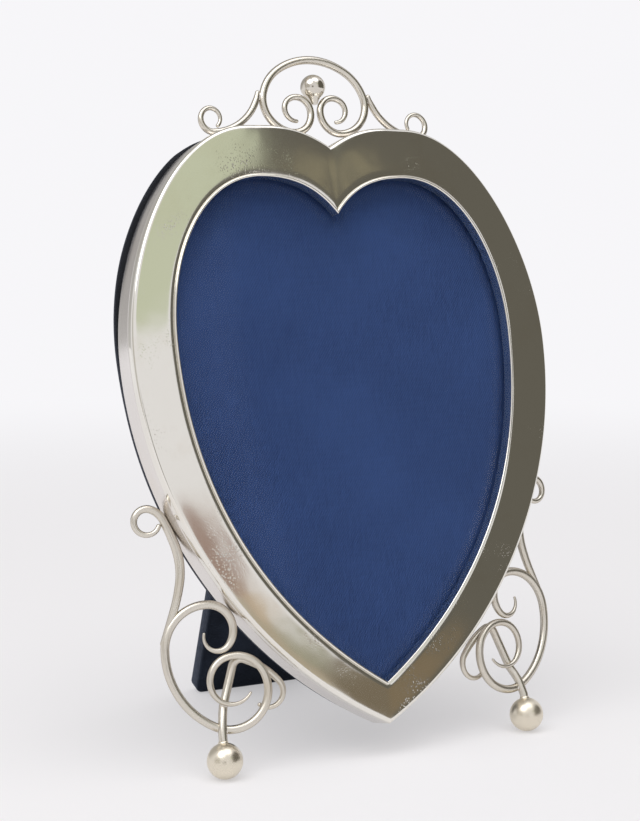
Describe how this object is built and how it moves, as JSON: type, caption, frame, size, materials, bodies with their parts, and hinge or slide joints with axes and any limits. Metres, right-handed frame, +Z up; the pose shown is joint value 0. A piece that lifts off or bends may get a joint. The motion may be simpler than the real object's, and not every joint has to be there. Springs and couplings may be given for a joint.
{
  "type": "heart shaped photo frame",
  "caption": "Freestanding heart shaped easel picture frame in silver with scrolled wire crest and ball feet, bevelled glass, velvet back with turn buttons and a folding strut.",
  "frame": {"origin": "centre of the footprint, on the surface that the frame stands on", "axes": "+Z up, +X to the right seen from the front, -Y towards the viewer; the heart leans back 12.7 degrees about X"},
  "size_m": [0.1266, 0.0878, 0.1843],
  "materials": {
    "silver_face": "polished silver, lightly worn and pitted",
    "silver_band": "polished silver",
    "silver_rim": "polished silver",
    "silver_wire": "polished silver wire",
    "silver_ball": "bright polished silver",
    "silver_foot": "worn silver with a warm tarnish",
    "glass": "clear bevelled plate",
    "blue_cloth": "blue twill",
    "card": "matt mount card",
    "wood": "plain stained wood",
    "velvet": "black velvet",
    "strut_velvet": "dark blue black velvet",
    "brass": "satin brass"
  },
  "bodies": {
    "frame": {"face_moulding": "silver_face", "side_band": "silver_band", "sight_rim": "silver_rim", "crest_scroll": "silver_wire", "crest_arm_left": "silver_wire", "crest_arm_right": "silver_wire", "crest_ball": "silver_ball", "foot_scroll_left": "silver_wire", "foot_scroll_right": "silver_wire", "foot_arm_left": "silver_wire", "foot_arm_right": "silver_wire", "foot_stem_left": "silver_wire", "foot_stem_right": "silver_wire", "foot_ball_left": "silver_foot", "foot_ball_right": "silver_foot", "glass": "glass", "mount_cloth": "blue_cloth", "mount_card": "card", "wood_frame": "wood", "frame_velvet": "velvet", "back_panel": "wood", "panel_velvet": "velvet", "button_screws": "brass", "hinge_plate_back": "brass", "hinge_pin": "brass", "hinge_screws_back": "brass"},
    "strut": {"hinge_plate_strut": "brass", "hinge_screws_strut": "brass", "strut_board": "wood", "strut_velvet": "strut_velvet"},
    "turn_button_upper_left": {"turn_button_upper_left": "brass"},
    "turn_button_upper_right": {"turn_button_upper_right": "brass"},
    "turn_button_lower_left": {"turn_button_lower_left": "brass"},
    "turn_button_lower_right": {"turn_button_lower_right": "brass"}
  },
  "joints": [
    {"name": "strut_hinge", "type": "hinge", "parent": "frame", "child": "strut", "pos_m": [0, -0.00485, 0.11678], "axis": [1, 0, 0], "range_deg": [-33.4, 0]},
    {"name": "turn_button_upper_left_pivot", "type": "hinge", "parent": "frame", "child": "turn_button_upper_left", "pos_m": [-0.04032, 0.00116, 0.14824], "axis": [0, -0.9755, 0.2198], "continuous": true},
    {"name": "turn_button_upper_right_pivot", "type": "hinge", "parent": "frame", "child": "turn_button_upper_right", "pos_m": [0.04032, 0.00116, 0.14824], "axis": [0, -0.9755, 0.2198], "continuous": true},
    {"name": "turn_button_lower_left_pivot", "type": "hinge", "parent": "frame", "child": "turn_button_lower_left", "pos_m": [-0.04445, -0.01992, 0.05469], "axis": [0, -0.9755, 0.2198], "continuous": true},
    {"name": "turn_button_lower_right_pivot", "type": "hinge", "parent": "frame", "child": "turn_button_lower_right", "pos_m": [0.04445, -0.01992, 0.05469], "axis": [0, -0.9755, 0.2198], "continuous": true}
  ]
}
